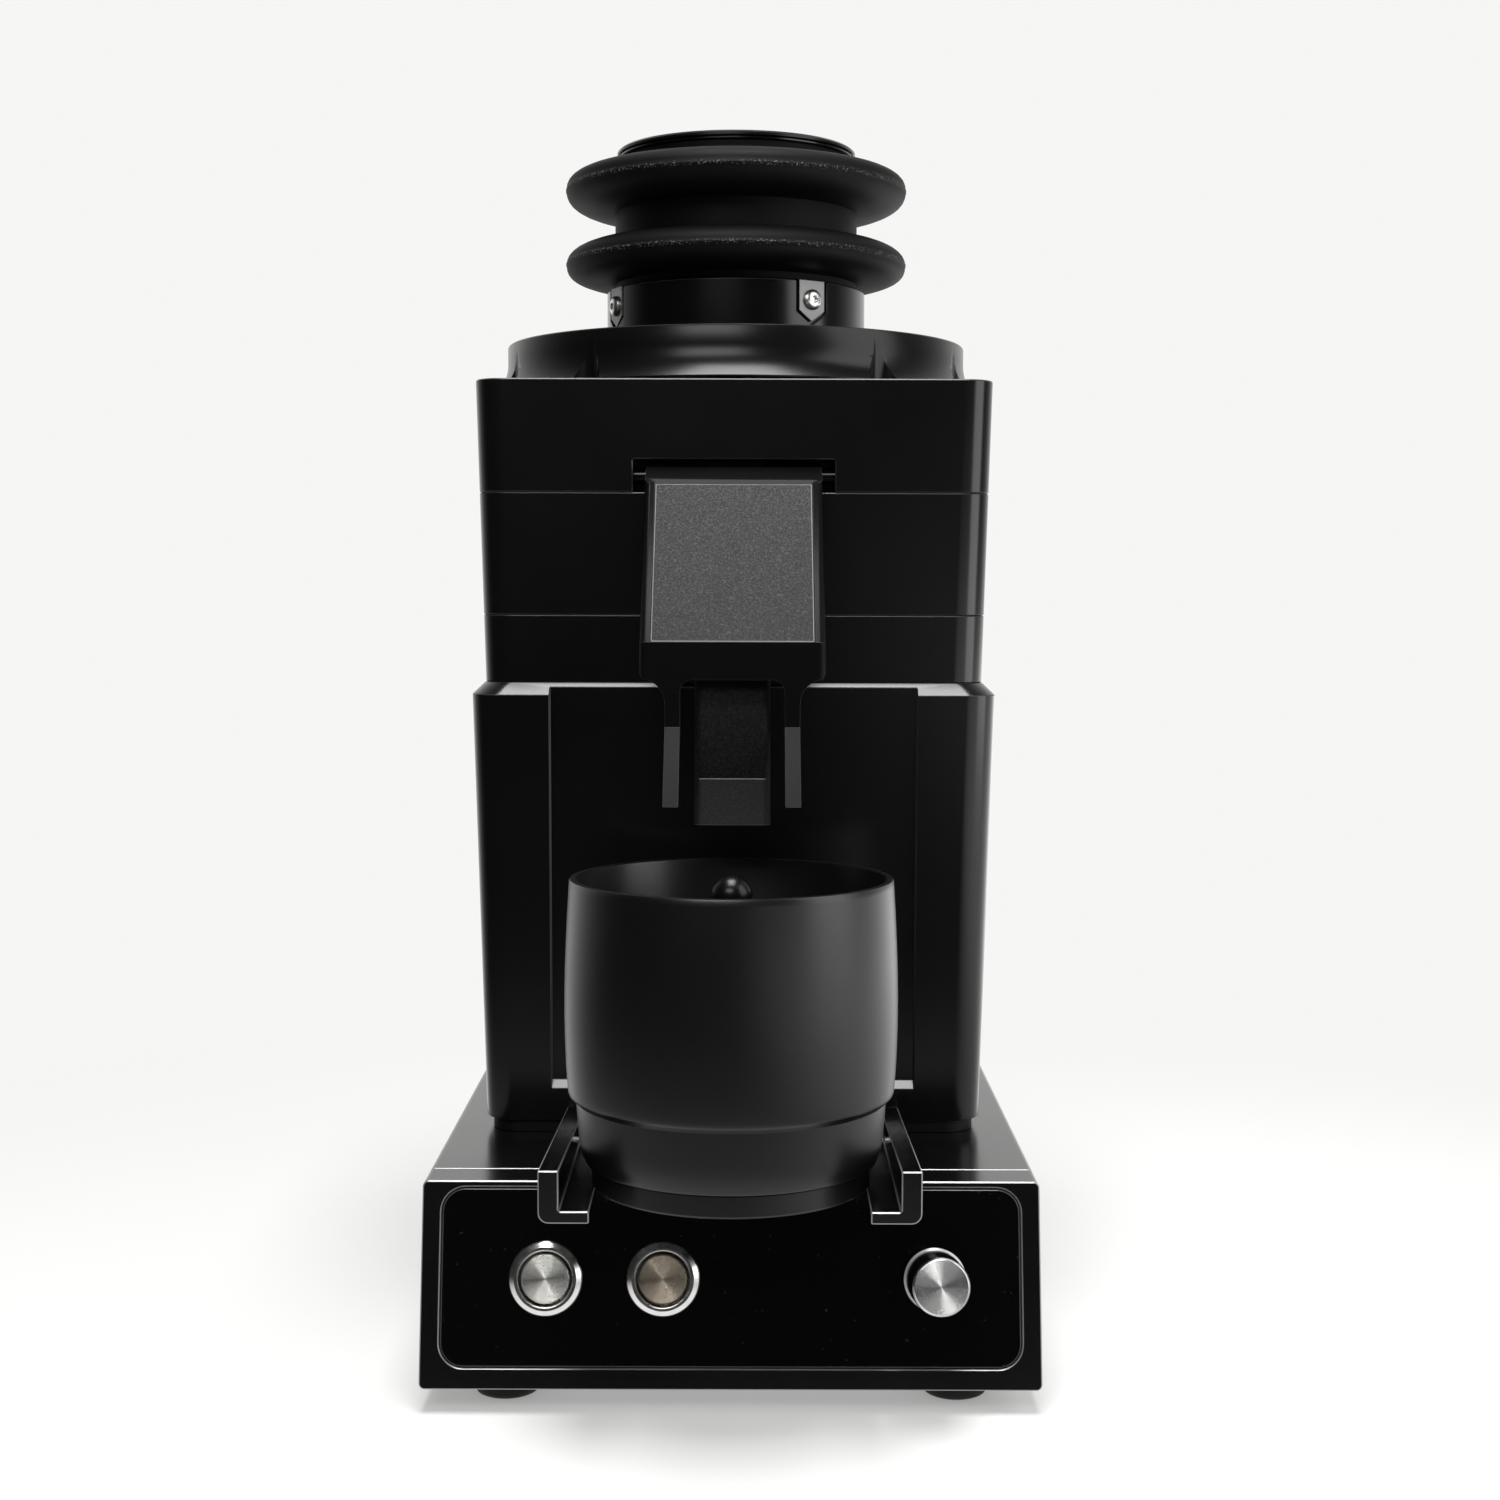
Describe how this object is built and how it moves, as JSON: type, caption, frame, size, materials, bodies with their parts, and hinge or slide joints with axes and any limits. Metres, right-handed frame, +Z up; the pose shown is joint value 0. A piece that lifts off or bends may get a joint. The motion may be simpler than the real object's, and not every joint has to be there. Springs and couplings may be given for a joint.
{
  "type": "burr coffee grinder",
  "caption": "Upright electric burr coffee grinder with bellows hopper, grind dial, knocker lever, dosing cup on a fork and sloped control base.",
  "frame": {"origin": "on the table, under the middle of the whole machine's footprint box", "axes": "+X to the machine's right as seen from the front, front faces -Y, +Z up along the burr axis"},
  "size_m": [0.149, 0.2412, 0.3205],
  "materials": {
    "anodised_black": "satin near-black anodising over fine bead blasting",
    "plate_grey": "dark grey speckled powder coat",
    "zinc_plate": "dull zinc plate",
    "panel_gloss": "polished black acrylic",
    "stainless": "turned and brushed stainless steel",
    "spun_aluminium": "spun bright aluminium",
    "screw_steel": "plain screw steel",
    "burr_steel": "hardened tool steel",
    "knob_black": "moulded black plastic",
    "moulded_black": "moulded matte black plastic",
    "brass": "turned brass",
    "copper_winding": "varnished copper wire",
    "board": "green solder mask",
    "soft_rubber": "matte black silicone rubber"
  },
  "bodies": {
    "root": {"base_shell": "anodised_black", "front_bezel": "anodised_black", "base_plate": "zinc_plate", "rubber_feet": "soft_rubber", "foot_screws": "screw_steel", "control_panel": "panel_gloss", "power_button_housing": "stainless", "grind_button_housing": "stainless", "panel_nuts": "screw_steel", "potentiometer": "moulded_black", "control_board": "board", "power_supply": "zinc_plate", "power_inlet": "moulded_black", "inlet_pins": "brass", "plinth": "moulded_black", "motor_housing": "anodised_black", "base_screws": "screw_steel", "motor_can": "zinc_plate", "end_bell": "zinc_plate", "stator": "copper_winding", "motor_bearing": "screw_steel", "main_bearing": "screw_steel", "chamber_block": "anodised_black", "middle_block": "anodised_black", "top_block": "anodised_black", "block_screws": "screw_steel", "guide_pins": "screw_steel", "preload_spring": "screw_steel", "dial_retainer": "zinc_plate", "retainer_screws": "screw_steel", "thrust_washer": "brass", "chute": "plate_grey", "chute_screws": "screw_steel", "hinge_pin": "stainless", "lever_spring": "screw_steel", "cup_fork": "anodised_black"},
    "rotor": {"rotor": "screw_steel", "motor_shaft": "screw_steel", "burr_rotor": "burr_steel", "lower_burr": "burr_steel", "pre_breaker": "burr_steel"},
    "dial": {"dial_ring": "anodised_black"},
    "hopper": {"burr_holder": "zinc_plate", "upper_burr": "burr_steel", "hopper_collar": "anodised_black", "clamp_plates": "stainless", "clamp_screws": "stainless", "bellows": "soft_rubber"},
    "bellows_top": {"bellows_ring": "anodised_black"},
    "lid": {"lid": "anodised_black"},
    "power_button": {"power_button_cap": "stainless"},
    "grind_button": {"grind_button_cap": "stainless"},
    "speed_knob": {"speed_knob": "knob_black", "knob_cap": "spun_aluminium", "pot_shaft": "screw_steel"},
    "lever": {"lever": "anodised_black", "lever_plate": "plate_grey"},
    "cup": {"cup_body": "anodised_black", "cup_foot": "anodised_black"},
    "plunger": {"cup_plunger": "anodised_black"}
  },
  "joints": [
    {"name": "rotor_spin", "type": "hinge", "parent": "root", "child": "rotor", "pos_m": [0, 0.0431, 0.19], "axis": [0, 0, 1], "continuous": true},
    {"name": "dial_turn", "type": "hinge", "parent": "root", "child": "dial", "pos_m": [0, 0.0431, 0.255], "axis": [0, 0, 1], "range_deg": [-150, 150]},
    {"name": "burr_adjust", "type": "slide", "parent": "root", "child": "hopper", "axis": [0, 0, 1], "range_m": [-0.00065, 0.00065], "deforming": ["preload_spring"]},
    {"name": "bellows_press", "type": "slide", "parent": "hopper", "child": "bellows_top", "axis": [0, 0, -1], "range_m": [0, 0.02], "stiffness_N_per_m": 400, "springref_m": -0.004, "deforming": ["bellows"]},
    {"name": "lid_lift", "type": "slide", "parent": "bellows_top", "child": "lid", "axis": [0, 0, 1], "range_m": [0, 0.05]},
    {"name": "power_press", "type": "slide", "parent": "root", "child": "power_button", "axis": [0, 0.9781, -0.2079], "range_m": [0, 0.0015], "stiffness_N_per_m": 600, "springref_m": -0.002},
    {"name": "grind_press", "type": "slide", "parent": "root", "child": "grind_button", "axis": [0, 0.9781, -0.2079], "range_m": [0, 0.0015], "stiffness_N_per_m": 600, "springref_m": -0.002},
    {"name": "speed_turn", "type": "hinge", "parent": "root", "child": "speed_knob", "pos_m": [0.049, -0.07649, 0.03143], "axis": [0, -0.9781, 0.2079], "range_deg": [-180, 120]},
    {"name": "lever_pull", "type": "hinge", "parent": "root", "child": "lever", "pos_m": [0, -0.01924, 0.226], "axis": [-1, 0, 0], "range_deg": [0, 14], "stiffness_Nm_per_rad": 0.3, "springref_deg": -11.46},
    {"name": "cup_slide", "type": "slide", "parent": "root", "child": "cup", "axis": [0, -1, 0], "range_m": [0, 0.1]},
    {"name": "plunger_lift", "type": "slide", "parent": "cup", "child": "plunger", "axis": [0, 0, 1], "range_m": [0, 0.02]}
  ],
  "couplings": [
    {"joint": "burr_adjust", "follows": "dial_turn", "m_per_rad": 0.00023873}
  ]
}
